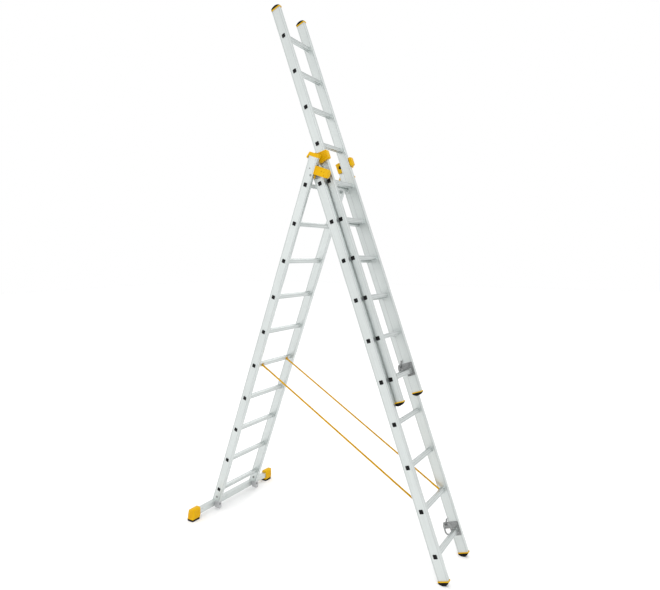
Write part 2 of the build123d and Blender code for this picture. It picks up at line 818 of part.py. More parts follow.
print("strap, rung centre to rung centre:", round(strap_length, 1), "mm")
print("front feet stand", round(front_height, 2), "mm below the bottom rung")
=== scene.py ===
import math
import bmesh
import bpy
from mathutils import Matrix, Vector


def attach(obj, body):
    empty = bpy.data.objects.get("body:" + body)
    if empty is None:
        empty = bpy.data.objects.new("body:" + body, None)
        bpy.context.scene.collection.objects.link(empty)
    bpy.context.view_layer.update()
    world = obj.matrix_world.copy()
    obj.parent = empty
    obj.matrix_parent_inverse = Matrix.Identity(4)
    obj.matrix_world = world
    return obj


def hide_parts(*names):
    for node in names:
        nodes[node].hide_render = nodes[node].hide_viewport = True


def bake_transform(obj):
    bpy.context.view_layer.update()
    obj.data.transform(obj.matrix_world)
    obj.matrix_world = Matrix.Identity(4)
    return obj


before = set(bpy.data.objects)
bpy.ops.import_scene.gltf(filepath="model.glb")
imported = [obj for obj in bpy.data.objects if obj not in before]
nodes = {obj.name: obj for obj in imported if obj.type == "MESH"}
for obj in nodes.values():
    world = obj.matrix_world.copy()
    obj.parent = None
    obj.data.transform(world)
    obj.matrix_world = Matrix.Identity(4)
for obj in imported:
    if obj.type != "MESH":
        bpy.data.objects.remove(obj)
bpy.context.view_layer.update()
scene = bpy.context.scene
print("frame loaded:", len(nodes), "nodes")

sides = {"left": -1, "right": 1}


def hand(side):
    return "left" if side < 0 else "right"


# Millimetres. A section's own directions are ahead (to the front), across and along its stiles.
ladder = {
    "rungPitch": 280.0,
    "frontLean": 70.47,
    "rearLean": 69.56,
    "frontRung": (919.9, 169.877),  # X and Z of the lowest rung
    "rearRung": (-901.193, 179.588),
    "upperStep": (52.3, 1120.0),  # from the front section's lowest rung, ahead and along
    "frontHalf": 201.81,
    "rearHalf": 235.42,
    "upperHalf": 163.64,
    "stileThickness": 25.0,
    "rungSize": 30.0,
    "plateThickness": 4.0,
}


def leaningFrame(x, z, lean, way):
    # from a section's millimetres to the row's metres
    angle = math.radians(lean)
    ahead = (math.sin(angle), 0, way * math.cos(angle))
    along = (-way * math.cos(angle), 0, math.sin(angle))
    turn = Matrix((ahead, (0, 1, 0), along)).transposed() * 0.001
    return Matrix.Translation((x / 1000, 0, z / 1000)) @ turn.to_4x4()


frontFrame = leaningFrame(*ladder["frontRung"], ladder["frontLean"], 1)
rearFrame = leaningFrame(*ladder["rearRung"], ladder["rearLean"], -1)
upperFrame = frontFrame @ Matrix.Translation((ladder["upperStep"][0], 0, ladder["upperStep"][1]))
rowFrame = Matrix.Scale(0.001, 4)
frames = {"front": frontFrame, "rear": rearFrame, "upper": upperFrame}


# camera
cameraView = {
    "place": (2.0816, -3.2070, 2.0419),
    "turn": -32.7520,
    "tilt": -3.41097,
    "roll": -0.39556,
    "lens": 28.514,
    "shift": (0.00099, -0.0101),
}


def makeCamera(view):
    turn, tilt, roll = (math.radians(view[key]) for key in ("turn", "tilt", "roll"))
    ahead = Vector((math.sin(turn) * math.cos(tilt), math.cos(turn) * math.cos(tilt), math.sin(tilt)))
    right = Vector((math.cos(turn), -math.sin(turn), 0))
    up = right.cross(ahead)
    levelX = right * math.cos(roll) + up * math.sin(roll)
    levelY = up * math.cos(roll) - right * math.sin(roll)
    data = bpy.data.cameras.new("ladderCamera")
    data.lens, data.sensor_width = view["lens"], 36.0
    data.shift_x, data.shift_y = view["shift"]
    data.clip_end = 100
    camera = bpy.data.objects.new("ladderCamera", data)
    turned = Matrix((levelX, levelY, -ahead)).transposed().to_4x4()
    camera.matrix_world = Matrix.Translation(view["place"]) @ turned
    scene.collection.objects.link(camera)
    scene.camera = camera


makeCamera(cameraView)
print("camera set")


# materials: a socket wrapped so that maths on it reads as an expression
class Value:
    def __init__(self, finish, socket):
        self.finish, self.socket = finish, socket

    def maths(self, operation, first, second, clamp=False):
        settings = {"operation": operation, "use_clamp": clamp}
        return self.finish.node("Math", settings, {0: first, 1: second})

    def __add__(self, other):
        return self.maths("ADD", self, other)

    def __radd__(self, other):
        return self.maths("ADD", other, self)

    def __sub__(self, other):
        return self.maths("SUBTRACT", self, other)

    def __rsub__(self, other):
        return self.maths("SUBTRACT", other, self)

    def __mul__(self, other):
        return self.maths("MULTIPLY", self, other)

    def __rmul__(self, other):
        return self.maths("MULTIPLY", other, self)

    def __truediv__(self, other):
        return self.maths("DIVIDE", self, other)

    def __abs__(self):
        return self.maths("ABSOLUTE", self, 0.0)

    def step(self, low, high):
        # 0 below low, 1 above high, smooth between
        settings = {"interpolation_type": "SMOOTHSTEP"}
        return self.finish.node("MapRange", settings, {"Value": self, "From Min": low, "From Max": high})


class Finish:
    def __init__(self, name, **sockets):
        self.material = bpy.data.materials.new(name)
        self.material.use_nodes = True
        self.tree = self.material.node_tree
        self.shader = self.tree.nodes["Principled BSDF"]
        for socket, value in sockets.items():
            self.set(socket.replace("_", " "), value)

    def set(self, socket, value):
        self.feed(self.shader.inputs[socket], value)

    def feed(self, socket, value):
        if isinstance(value, Value):
            self.tree.links.new(value.socket, socket)
        else:
            socket.default_value = value

    def node(self, kind, settings, sockets, output=0):
        made = self.tree.nodes.new("ShaderNode" + kind)
        for key, value in settings.items():
            setattr(made, key, value)
        for key, value in sockets.items():
            self.feed(made.inputs[key], value)
        return Value(self, made.outputs[output])

    def place(self):
        return self.node("TexCoord", {}, {}, "Object")

    def reach(self, direction, offset=0.0):
        # how far a point lies in a direction, in millimetres
        dot = self.node("VectorMath", {"operation": "DOT_PRODUCT"}, {0: self.place(), 1: direction}, "Value")
        return dot * 1000.0 - offset

    def noise(self, place, scale, detail=3.0, roughness=0.5):
        sockets = {"Vector": place, "Scale": scale, "Detail": detail, "Roughness": roughness}
        return self.node("TexNoise", {}, sockets)

    def combine(self, x, y, z):
        return self.node("CombineXYZ", {}, {0: x, 1: y, 2: z})

    def mix(self, share, first, second):
        return self.node("Mix", {"data_type": "RGBA"}, {0: share, 6: first, 7: second}, 2)

    def bump(self, height, distance, strength=1.0):
        sockets = {"Height": height, "Distance": distance, "Strength": strength}
        self.set("Normal", self.node("Bump", {}, sockets))


aluminium = {
    "bright": (0.68, 0.715, 0.705, 1),
    "dull": (0.53, 0.56, 0.55, 1),
    # this darker colour stands for real scuffs and also for the painted shade in the grooves
    "scuffAndGrooveShade": (0.40, 0.41, 0.42, 1),
    "roughness": 0.34,
    "streakWidth": 0.5,  # millimetres across the draw lines
    "streakLength": 90.0,
    "edgeFrom": 33.5,  # from the middle of a stile, where the rubbed edge begins
    # painted shade: a dark line along each stile groove, at grooveAt from the stile's middle, grooveShade
    # strong
    "grooveAt": 29.0,
    "grooveShade": 0.55,
    # painted shade: dark lines along the rung grooves, at rungGrooveAt from the rung's middle,
    # rungGrooveShade strong
    "rungGrooveAt": 7.0,
    "rungGrooveShade": 0.75,
}


def directionsOf(section):
    turn = frames[section].to_3x3() * 1000
    return tuple(turn.col[0]), tuple(turn.col[2]), frames[section].translation


def paintedRungGrooveShade(metal, section):
    # painted shade: dark lines along the rung grooves, on the faces that look ahead and along
    ahead, along, origin = directionsOf(section)
    depth = metal.reach(ahead, origin.dot(Vector(ahead)) * 1000)
    height = metal.reach(along, origin.dot(Vector(along)) * 1000)
    half = ladder["rungPitch"] / 2
    level = metal.node("Math", {"operation": "WRAP"}, {0: height, 1: half, 2: -half})
    lines = 0.0
    for distance in (depth, level):
        lines = (1 - abs(abs(distance) - aluminium["rungGrooveAt"]).step(0.9, 1.8)) + lines
    return lines * aluminium["rungGrooveShade"]


def drawnAluminium(name, direction, square, originShift, edges, rungsOf=None):
    # direction is the way the tube was drawn, square lies across it in the side view
    metal = Finish(name, Metallic=1.0)
    along = metal.reach(direction)
    depth = metal.reach(square, originShift)
    across = metal.reach((0, 1, 0) if abs(direction[1]) < 0.5 else (1, 0, 0))
    fine = metal.combine(along / aluminium["streakLength"], depth / aluminium["streakWidth"],
                         across / aluminium["streakWidth"])
    streaks = metal.noise(fine, 0.35, 4.0, 0.6)
    cloud = metal.noise(metal.place(), 5.0, 3.0, 0.6)
    scratchPlace = metal.combine(along / 14.0, depth / 1.1, across / 1.1)
    scratches = metal.noise(scratchPlace, 0.6, 2.0, 0.7).step(0.66, 0.74)
    worn = scratches * cloud.step(0.48, 0.66)
    # the rungs get painted shade along their grooves
    groove = paintedRungGrooveShade(metal, rungsOf) if rungsOf else 0.0
    if edges:
        # painted shade along the stile grooves on both faces
        middle = aluminium["grooveAt"]
        groove = (1 - abs(abs(depth) - middle).step(1.1, 1.9)) * aluminium["grooveShade"]
        rubbed = abs(depth).step(aluminium["edgeFrom"], 36.6)
        worn = worn * 0.6 + rubbed * metal.noise(scratchPlace, 0.22, 3.0).step(0.42, 0.62) * 0.4
    tone = metal.mix(streaks.step(0.32, 0.68) * 0.45 + cloud * 0.3, aluminium["bright"], aluminium["dull"])
    # worn marks and the painted groove shade both pull the colour towards the darker scuffed tone
    metal.set("Base Color", metal.mix(worn * 0.5 + groove, tone, aluminium["scuffAndGrooveShade"]))
    metal.set("Roughness", aluminium["roughness"] + streaks * 0.16 + worn * 0.12 + cloud * 0.06)
    metal.bump(streaks + scratches * -0.5, 0.00025, 0.5)
    return metal.material


finishes = {}
for section in frames:
    ahead, along, origin = directionsOf(section)
    shift = origin.dot(Vector(ahead)) * 1000
    finishes[section + "Stile"] = drawnAluminium(section + "StileAluminium", along, ahead, shift, True)
    finishes[section + "Rung"] = drawnAluminium(section + "RungAluminium", (0, 1, 0), (0, 0, 1), 0.0,
                                                False, section)
finishes["rung"] = drawnAluminium("barAluminium", (0, 1, 0), (0, 0, 1), 0.0, False)

steel = {"bright": (0.40, 0.41, 0.41, 1), "dark": (0.12, 0.125, 0.125, 1), "spangle": 90.0, "roughness": 0.30}


def zincPlatedSteel():
    metal = Finish("zincPlatedSteel", Metallic=1.0)
    place = metal.place()
    cells = metal.node("TexVoronoi", {}, {"Vector": place, "Scale": steel["spangle"]}, "Distance")
    cloud = metal.noise(place, 28.0, 5.0, 0.62)
    grime = metal.noise(place, 9.0, 4.0, 0.6).step(0.5, 0.72)
    shade = cells * 0.5 + cloud * 0.4 + grime * 0.25
    metal.set("Base Color", metal.mix(shade, steel["bright"], steel["dark"]))
    metal.set("Roughness", steel["roughness"] + cloud * 0.22 + grime * 0.12)
    metal.bump(cloud + cells * 0.4, 0.0003, 0.35)
    return metal.material


casting = {"colour": (0.56, 0.565, 0.575, 1), "pit": (0.33, 0.335, 0.34, 1), "grain": 900.0}


def castMetal():
    metal = Finish("castAluminium", Metallic=0.85)
    place = metal.place()
    grain = metal.noise(place, casting["grain"], 3.0, 0.7)
    flow = metal.noise(place, 38.0, 4.0, 0.55)
    shade = grain.step(0.5, 0.75) * 0.5 + flow * 0.4
    metal.set("Base Color", metal.mix(shade, casting["colour"], casting["pit"]))
    metal.set("Roughness", 0.45 + grain * 0.2)
    metal.bump(grain * 0.6 + flow, 0.0006, 0.7)
    return metal.material


mouldings = {
    "yellow": (0.66, 0.36, 0.0, 1),
    "yellowPale": (0.72, 0.45, 0.001, 1),
    "yellowDirt": (0.34, 0.15, 0.0, 1),
    "black": (0.002, 0.002, 0.0022, 1),
    "blackPale": (0.010, 0.010, 0.0105, 1),
}


def mouldedPlastic(name, deep, pale, dirt, roughness):
    plastic = Finish(name, Specular_IOR_Level=0.14)
    place = plastic.place()
    grain = plastic.noise(place, 1400.0, 2.0, 0.5)
    flow = plastic.noise(place, 16.0, 4.0, 0.6)
    scuffs = plastic.noise(place, 140.0, 5.0, 0.72).step(0.60, 0.74)
    dust = plastic.noise(place, 30.0, 5.0, 0.65).step(0.52, 0.78)
    base = plastic.mix(flow.step(0.3, 0.75) * 0.6 + scuffs * 0.35, deep, pale)
    plastic.set("Base Color", plastic.mix(dust * 0.22, base, dirt))
    plastic.set("Roughness", roughness + grain * 0.12 + scuffs * 0.18 + dust * 0.08)
    plastic.bump(grain * 0.5 + scuffs * 0.3 + flow * 0.5, 0.0003, 0.5)
    return plastic.material


treads = {"clean": (0.004, 0.004, 0.0045, 1), "dusty": (0.035, 0.032, 0.03, 1)}


def treadRubber():
    rubber = Finish("treadRubber", Specular_IOR_Level=0.08)
    place = rubber.place()
    grain = rubber.noise(place, 700.0, 4.0, 0.6)
    dust = rubber.noise(place, 45.0, 5.0, 0.7).step(0.5, 0.8)
    rubber.set("Base Color", rubber.mix(dust * 0.5 + grain * 0.2, treads["clean"], treads["dusty"]))
    rubber.set("Roughness", 0.68 + dust * 0.2)
    rubber.bump(grain, 0.0005, 0.8)
    return rubber.material


finishes["steel"] = zincPlatedSteel()
finishes["cast"] = castMetal()
finishes["yellow"] = mouldedPlastic("yellowMoulding", mouldings["yellow"], mouldings["yellowPale"],
                                    mouldings["yellowDirt"], 0.40)
finishes["black"] = mouldedPlastic("blackMoulding", mouldings["black"], mouldings["blackPale"],
                                   (0.022, 0.021, 0.02, 1), 0.42)
finishes["rubber"] = treadRubber()

webbingCloth = {
    "light": (0.72, 0.40, 0.0, 1),
    "deep": (0.50, 0.25, 0.0, 1),
    "thread": (0.88, 0.60, 0.10, 1),
    "warp": 1.25,  # millimetres from one warp yarn to the next, across the strap
    "weft": 1.9,
}


def wovenWebbing(direction):
    cloth = Finish("strapWebbing", Specular_IOR_Level=0.06)
    along = cloth.reach(direction)
    across = cloth.reach((0, 1, 0))
    wave = {"operation": "SINE"}
    warp = cloth.node("Math", wave, {0: across * (2 * math.pi / webbingCloth["warp"])})
    shifted = along * (2 * math.pi / webbingCloth["weft"]) + warp.step(-0.2, 0.2) * math.pi
    weft = cloth.node("Math", wave, {0: shifted})
    yarns = warp * warp * 0.5 + weft * 0.5
    fibres = cloth.noise(cloth.combine(along / 6.0, across / 0.3, 0.0), 1.0, 3.0, 0.7)
    stain = cloth.noise(cloth.place(), 11.0, 5.0, 0.65)
    shade = yarns.step(-0.6, 1.0) * 0.55 + fibres * 0.25 + stain.step(0.35, 0.75) * 0.3
    cloth.set("Base Color", cloth.mix(shade, webbingCloth["deep"], webbingCloth["light"]))
    cloth.set("Roughness", 0.72 + fibres * 0.18)
    cloth.bump(yarns + fibres * 0.5, 0.0005, 0.8)
    return cloth.material


def sewingThread():
    thread = Finish("sewingThread", Specular_IOR_Level=0.3)
    twist = thread.noise(thread.place(), 1800.0, 2.0)
    thread.set("Base Color", thread.mix(twist, webbingCloth["thread"], webbingCloth["deep"]))
    thread.set("Roughness", 0.6 + twist * 0.2)
    return thread.material


finishes["thread"] = sewingThread()
print("finishes made:", len(finishes) + 1)


# shapes in a section's millimetres
def rounded(corners, radii, steps=6):
    # the outline with each corner replaced by an arc
    outline = []
    count = len(corners)
    radii = radii if isinstance(radii, (list, tuple)) else [radii] * count
    for i, radius in enumerate(radii):
        corner = Vector(corners[i])
        before = (Vector(corners[i - 1]) - corner).normalized()
        after = (Vector(corners[(i + 1) % count]) - corner).normalized()
        if radius <= 0:
            outline.append(corner)
            continue
        half = before.angle(after) / 2
        centre = corner + (before + after).normalized() * (radius / math.sin(half))
        first = corner + before * (radius / math.tan(half)) - centre
        last = corner + after * (radius / math.tan(half)) - centre
        spokes = [first.slerp(last, step / steps).normalized() for step in range(steps + 1)]
        outline += [centre + spoke * radius for spoke in spokes]
    return outline


def rectangle(x0, x1, y0, y1, radii=0.0, steps=6):
    return rounded([(x0, y0), (x1, y0), (x1, y1), (x0, y1)], radii, steps)


axisOrder = {"across": (0, 2, 1), "along": (0, 1, 2), "ahead": (1, 2, 0)}


def addSlab(bm, outline, low, high, axis="across"):
    # a closed slab of the outline, from low to high on the named axis
    first, second, third = axisOrder[axis]
    rings = []
    for level in (low, high):
        ring = []
        for point in outline:
            spot = [0.0, 0.0, 0.0]
            spot[first], spot[second], spot[third] = point[0], point[1], level
            ring.append(bm.verts.new(spot))
        rings.append(ring)
    faces = [bm.faces.new(rings[0]), bm.faces.new(rings[1][::-1])]
    count = len(outline)
    for i in range(count):
        j = (i + 1) % count
        faces.append(bm.faces.new((rings[0][j], rings[0][i], rings[1][i], rings[1][j])))
    bmesh.ops.recalc_face_normals(bm, faces=faces)


def addTurned(bm, profile, centre, axis="across", steps=24):
    # a turned solid: profile points are (radius, level on the axis), first and last on the axis
    first, second, third = axisOrder[axis]

    def spot(radius, level, angle):
        made = [0.0, 0.0, 0.0]
        made[first] = centre[0] + radius * math.cos(angle)
        made[second] = centre[1] + radius * math.sin(angle)
        made[third] = level
        return bm.verts.new(made)

    start, end = spot(0, profile[0][1], 0), spot(0, profile[-1][1], 0)
    rings = [[spot(radius, level, 2 * math.pi * k / steps) for k in range(steps)]
             for radius, level in profile[1:-1]]
    faces = []
    for k in range(steps):
        n = (k + 1) % steps
        faces.append(bm.faces.new((start, rings[0][k], rings[0][n])))
        faces.append(bm.faces.new((end, rings[-1][n], rings[-1][k])))
        for inner, outer in zip(rings, rings[1:]):
            faces.append(bm.faces.new((inner[k], outer[k], outer[n], inner[n])))
    bmesh.ops.recalc_face_normals(bm, faces=faces)


def addTube(bm, points, outline, closed=False, twistAxis=Vector((0, 1, 0))):
    # sweeps a closed outline along points; the outline's first direction stays near twistAxis
    points = [Vector(point) for point in points]
    rings = []
    count = len(points)
    for i, point in enumerate(points):
        before = points[i - 1] if i or closed else point
        after = points[(i + 1) % count] if i < count - 1 or closed else point
        tangent = (after - before).normalized()
        wide = (twistAxis - tangent * twistAxis.dot(tangent)).normalized()
        thick = tangent.cross(wide)
        rings.append([bm.verts.new(point + wide * a + thick * b) for a, b in outline])
    faces = []
    width = len(outline)
    for i in range(count if closed else count - 1):
        for k in range(width):
            n = (k + 1) % width
            j = (i + 1) % count
            faces.append(bm.faces.new((rings[i][k], rings[i][n], rings[j][n], rings[j][k])))
    if not closed:
        faces += [bm.faces.new(rings[0][::-1]), bm.faces.new(rings[-1])]
    bmesh.ops.recalc_face_normals(bm, faces=faces)


def circle(radius, steps=10):
    return [(radius * math.cos(2 * math.pi * k / steps), radius * math.sin(2 * math.pi * k / steps))
            for k in range(steps)]


def dome(base, outward, height, head):
    # from the axis at the crown to the axis at the base
    steps = [(0.0, 1.0), (0.35, 0.96), (0.62, 0.84), (0.82, 0.62), (0.95, 0.32), (1.0, 0.08), (1.0, 0.0)]
    return [(head * r, base + outward * height * h) for r, h in steps] + [(0.0, base)]


def circleAt(centre, radius, steps):
    return [(centre[0] + x, centre[1] + y) for x, y in circle(radius, steps)]


def toObject(name, bm, place, finish, smooth=35.0):
    mesh = bpy.data.meshes.new(name)
    bm.to_mesh(mesh)
    bm.free()
    mesh.transform(place)
    mesh.materials.append(finish)
    mesh.polygons.foreach_set("use_smooth", [True] * len(mesh.polygons))
    mesh.set_sharp_from_angle(angle=math.radians(smooth))
    piece = bpy.data.objects.new(name, mesh)
    scene.collection.objects.link(piece)
    return piece


def keep(piece, body, slot, *replaced):
    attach(piece, body)
    if replaced:
        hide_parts(*replaced)
    return piece


def moulded(name, solids, cuts, place, finish, edge, segments=3, trim=None):
    # the first slab is trimmed to a second outline, the rest are welded on, the cuts are taken away,
    # and every edge is rounded
    def slabObject(label, slab):
        bm = bmesh.new()
        addSlab(bm, *slab)
        return toObject(label, bm, Matrix.Identity(4), finish)

    piece = slabObject(name, solids[0])
    helpers = []
    steps = [("INTERSECT", trim)] if trim else []
    steps += [("UNION", slab) for slab in solids[1:]] + [("DIFFERENCE", slab) for slab in cuts]
    for number, (operation, slab) in enumerate(steps):
        helper = slabObject(f"{name}Tool{number}", slab)
        weld = piece.modifiers.new("weld", "BOOLEAN")
        weld.operation, weld.solver, weld.object = operation, "EXACT", helper
        helpers.append(helper)
    soften = piece.modifiers.new("soften", "BEVEL")
    soften.width, soften.segments = edge, segments
    soften.limit_method, soften.angle_limit = "ANGLE", math.radians(40)
    bpy.context.view_layer.update()
    evaluated = piece.evaluated_get(bpy.context.evaluated_depsgraph_get())
    mesh = bpy.data.meshes.new_from_object(evaluated)
    piece.modifiers.clear()
    for helper in helpers:
        bpy.data.objects.remove(helper)
    mesh.transform(place)
    mesh.polygons.foreach_set("use_smooth", [True] * len(mesh.polygons))
    mesh.set_sharp_from_angle(angle=math.radians(50))
    piece.data = mesh
    return piece


# straps: webbing pulled tight between the sections, doubled, sewn and riveted to a rung at each end
strapCut = {
    "rearRung": 4,
    "frontRung": 1,
    "across": 151.0,
    "width": 20.0,
    "thickness": 2.0,
    "gap": 0.4,  # between the rung and the webbing
    "tail": 62.0,  # sewn back under the run
    "steps": 120,
    "flap": 13.5,  # half the height of the end that lies on the rung
    "rivetDrop": 8.5,
    "rivetHead": 4.6,
    "hold": 0.006,  # metres in from each end of the run
}


def strapEnd(name, side, rung, away, place, body, cloth):
    # the end lies on the rung's face under a rivet and is sewn back under the run; away points along the run
    local = place.inverted().to_3x3()
    run = (local @ Vector(away)).normalized()
    thick = run.cross(Vector((0, 1, 0)))
    thick = thick if thick.z < 0 else -thick
    middle = side * strapCut["across"]
    level = rung * ladder["rungPitch"]
    way = math.copysign(1, run.x)
    inner = way * (ladder["rungSize"] / 2 + 0.05)
    outer = inner + way * strapCut["thickness"]
    half = strapCut["width"] / 2
    flap = rectangle(middle - half, middle + half, level - strapCut["flap"], level + strapCut["flap"], 1.5)
    bm = bmesh.new()
    addSlab(bm, flap, inner, outer, "ahead")
    piece = toObject(name, bm, place, cloth)
    rivetLevel = level - math.copysign(strapCut["rivetDrop"], run.z)
    bm = bmesh.new()
    addTurned(bm, dome(outer - way * 0.5, way, 2.4, strapCut["rivetHead"]), (middle, rivetLevel), "ahead")
    rivet = toObject(name + "Rivet", bm, place, finishes["steel"])
    keep(piece, body, "strap_webbing")
    keep(rivet, body, "zinc_steel")
    band = rectangle(-half, half, -strapCut["thickness"] / 2, strapCut["thickness"] / 2, 0.9, 3)
    rungSpot = Vector((0, middle, level))
    clear = ladder["rungSize"] / 2 + strapCut["gap"] + strapCut["thickness"] / 2
    reach = clear / max(abs(run.x), abs(run.z))
    under = thick * (strapCut["thickness"] + 0.05)
    bm = bmesh.new()
    tail = [rungSpot + under * share + run * (reach - 1 + spot)
            for spot, share in ((0, 0.25), (6, 0.7), (12, 1.0), (24, 1.0), (40, 1.0),
                                (strapCut["tail"], 1.0))]
    addTube(bm, tail, band)
    tailPiece = toObject(name + "Tail", bm, place, cloth)
    bm = bmesh.new()
    stitch = circle(0.45, 6)
    top = -thick * (strapCut["thickness"] / 2 + 0.15)
    bottom = under + thick * (strapCut["thickness"] / 2 + 0.15)
    for row in (-7.2, 7.2):
        for k in range(12):
            start = reach + 15 + 3.6 * k
            for face in (top, bottom):
                spots = [rungSpot + face + run * (start + d) + Vector((0, row, 0)) for d in (0, 1.3, 2.6)]
                spots[0] -= face.normalized() * 0.5
                spots[2] -= face.normalized() * 0.5
                addTube(bm, spots, stitch)
    for face in (top, bottom):
        for first, last in (((16, -5.5), (52, 5.5)), ((16, 5.5), (52, -5.5))):
            count = 11
            for k in range(count):
                ends = []
                for t in ((k + 0.12) / count, (k + 0.88) / count):
                    forward = first[0] + (last[0] - first[0]) * t
                    sideways = first[1] + (last[1] - first[1]) * t
                    ends.append(rungSpot + face + run * (reach + forward) + Vector((0, sideways, 0)))
                addTube(bm, ends, stitch)
    sewing = toObject(name + "Stitches", bm, place, finishes["thread"])
    for made in (tailPiece, sewing):
        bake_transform(made)


def strapRoute():
    rearSpot = rearFrame @ Vector((0, 0, strapCut["rearRung"] * ladder["rungPitch"]))
    frontSpot = frontFrame @ Vector((0, 0, strapCut["frontRung"] * ladder["rungPitch"]))
    return rearSpot, frontSpot


def makeStraps():
    rearSpot, frontSpot = strapRoute()
    run = frontSpot - rearSpot
    direction = run.normalized()
    cloth = wovenWebbing(tuple(direction))
    trim = (ladder["rungSize"] / 2 + strapCut["gap"] + strapCut["thickness"] / 2) * 0.001
    for title, side in sides.items():
        middle = Vector((0, side * strapCut["across"] * 0.001, 0))
        start = rearSpot + direction * trim + middle
        end = frontSpot - direction * trim + middle
        steps = strapCut["steps"]
        points = [start.lerp(end, k / steps) for k in range(steps + 1)]
        half = strapCut["width"] / 2000
        thick = strapCut["thickness"] / 2000
        # a selvedge stands a little proud along both edges
        quarter = [(1.0, 0.5), (0.96, 1.0), (0.88, 1.0), (0.84, 0.82)]
        band = [(-half * a, -thick * b) for a, b in quarter]
        band += [(half * a, -thick * b) for a, b in reversed(quarter)]
        band += [(half * a, thick * b) for a, b in quarter]
        band += [(-half * a, thick * b) for a, b in reversed(quarter)]
        bm = bmesh.new()
        addTube(bm, points, band)
        strap = toObject("strapRun_" + title, bm, Matrix.Identity(4), cloth)
        span = (start + direction * strapCut["hold"], end - direction * strapCut["hold"])
        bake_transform(strap)
        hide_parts("strap_" + title)
        strapEnd("strapRearEnd_" + title, side, strapCut["rearRung"], direction, rearFrame,
                 "rear_section", cloth)
        strapEnd("strapFrontEnd_" + title, side, strapCut["frontRung"], -direction, frontFrame,
                 "front_section", cloth)
        (end - start).length


makeStraps()
print("straps made")


# finishes on the pieces that stay as they are
finishOfNode = {
    "front_left_stile": "frontStile", "front_right_stile": "frontStile",
    "upper_left_stile": "upperStile", "upper_right_stile": "upperStile",
    "rear_left_stile": "rearStile", "rear_right_stile": "rearStile",
    "front_rungs": "frontRung", "upper_rungs": "upperRung", "rear_rungs": "rearRung",
    "crossbar": "rung",
}
finishOfSlot = {
    "rung_aluminium": "rung",
    "cast_aluminium": "cast",
    "zinc_steel": "steel",
    "yellow_plastic": "yellow",
    "black_plastic": "black",
    "black_rubber": "rubber",
}
for name, node in nodes.items():
    for place in node.material_slots:
        base = place.material.name.split(".")[0] if place.material else ""
        place.material = finishes[finishOfNode.get(name) or finishOfSlot.get(base, "steel")]


# hinge brackets on the rear stiles
bracketShape = {
    "near": 206.21,
    "back": 37.0,
    "front": {-1: 150.0, 1: 84.0},  # the right arm stops behind the front stile's face
    "along": (2606.0, 2665.0),
    "corner": 9.0,
    "wall": 3.5,
    "recess": 2.2,
    "base": (-28.0, 44.0, 2575.3),
    "pin": (19.2, 2592.3),
    "pinRadius": 6.0,
    "marks": ((97.0, 2640.0), (118.0, 2640.0), (122.0, 2618.0)),
    "markRadius": 4.2,
    "edge": 1.1,
}


def hingeBracket(side):
    shape = bracketShape
    near, far = shape["near"], ladder["rearHalf"]
    inner = far - ladder["stileThickness"]
    back, front = shape["back"], shape["front"][side]
    low, high = shape["along"]
    middle = (low + high) / 2
    arm = rectangle(back, front, low, high, [2.0, shape["corner"], shape["corner"], 2.0])
    base = rectangle(*shape["base"], high, [12, 10, 2, 12])
    solids = [
        (arm, side * near, side * far),
        (base, side * near, side * (inner - 0.02)),
    ]
    if side < 0:
        lip = rectangle(front - 8, front, low + 10, high - 10, 2.0)
        solids.append((lip, side * (near - 8), side * (near + 6)))
    window = rectangle(back + 6, front - 6, low + 6, high - 6, 6.0)
    pocket = rectangle(back + 6, front - 12, low + 5, high - 5, 3.0)
    cuts = [
        (window, side * (far - shape["recess"]), side * (far + 5)),
        (pocket, side * (near - 1), side * (far - shape["recess"] - shape["wall"])),
        (circleAt(shape["pin"], shape["pinRadius"], 32), side * (near - 2), side * (inner + 2)),
    ]
    for spot in shape["marks"]:
        if spot[0] <= front - 10:
            mark = circleAt(spot, shape["markRadius"], 16)
            cuts.append((mark, side * (far - 5.5), side * (far + 2)))
    piece = moulded(f"hingeBracketBody_{hand(side)}", solids, cuts, rearFrame, finishes["yellow"],
                    shape["edge"])
    keep(piece, "rear_section", "yellow_plastic", f"hinge_bracket_{hand(side)}")


# guides on the front stiles' tops, which wrap round the upper section's stiles
guideShape = {
    "near": 166.1,
    "back": -34.0,
    "front": 112.0,
    "along": (2656.0, 2733.5),
    "block": (2664.0, 2726.0),
    "lipBack": 89.6,
    "lipReach": 147.0,
    "stileTop": 2730.0,
    "rivet": (-5.0, 2696.0),
    "button": 13.0,
    "ribPitch": 11.0,
    "edge": 1.2,
}


